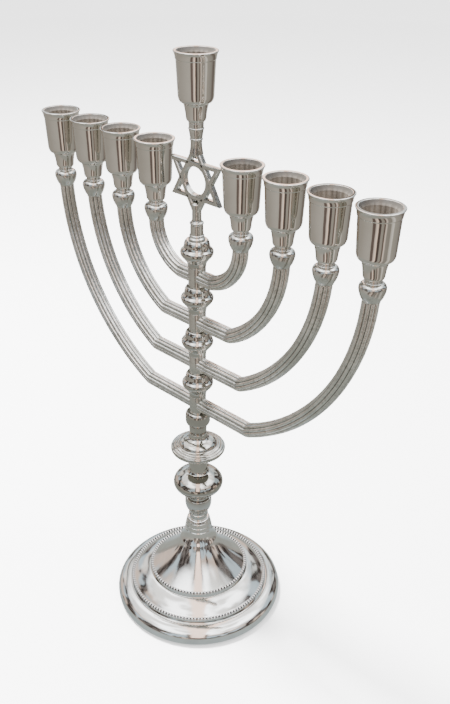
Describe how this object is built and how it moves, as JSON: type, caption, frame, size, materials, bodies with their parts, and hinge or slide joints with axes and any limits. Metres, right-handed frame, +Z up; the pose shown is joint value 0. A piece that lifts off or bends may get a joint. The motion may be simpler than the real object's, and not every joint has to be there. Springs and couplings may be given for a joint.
{
  "type": "hanukkah menorah",
  "caption": "Nickel-plated hanukkah menorah with a round stepped foot, turned column, reeded curved arms, a star stem and flared candle cups.",
  "frame": {"origin": "middle of the round rim on which the foot stands, at table height", "axes": "+Z up along the column; the arms spread along X, left arms towards -X; the star faces -Y and +Y"},
  "size_m": [0.3134, 0.1344, 0.437],
  "materials": {
    "nickel_polished": "turned brass, bright nickel plating, polished",
    "nickel_cast": "cast brass, bright nickel plating over a lightly grained surface",
    "nickel_cups": "turned brass, bright nickel plating, warm in tone, polished",
    "steel_fixings": "zinc-plated steel, as bought"
  },
  "bodies": {
    "root": {"foot": "nickel_polished", "inner_bead_wire": "nickel_polished", "outer_bead_wire": "nickel_polished", "foot_collar": "nickel_polished", "bulb_knop": "nickel_polished", "disc_knop": "nickel_polished", "low_knop": "nickel_polished", "stem_knop_1": "nickel_polished", "stem_knop_2": "nickel_polished", "stem_knop_3": "nickel_polished", "stem_knop_4": "nickel_polished", "ball_left_1": "nickel_polished", "ball_left_2": "nickel_polished", "ball_left_3": "nickel_polished", "ball_left_4": "nickel_polished", "ball_right_1": "nickel_polished", "ball_right_2": "nickel_polished", "ball_right_3": "nickel_polished", "ball_right_4": "nickel_polished", "arm_pair_1": "nickel_cast", "arm_pair_2": "nickel_cast", "arm_pair_3": "nickel_cast", "arm_pair_4": "nickel_cast", "star_stem": "nickel_cast", "cup_left_1": "nickel_cups", "cup_left_2": "nickel_cups", "cup_left_3": "nickel_cups", "cup_left_4": "nickel_cups", "cup_right_1": "nickel_cups", "cup_right_2": "nickel_cups", "cup_right_3": "nickel_cups", "cup_right_4": "nickel_cups", "middle_cup": "nickel_cups", "foot_washer": "steel_fixings", "foot_nut": "steel_fixings", "tie_rod": "steel_fixings", "cup_studs": "steel_fixings"}
  },
  "joints": []
}
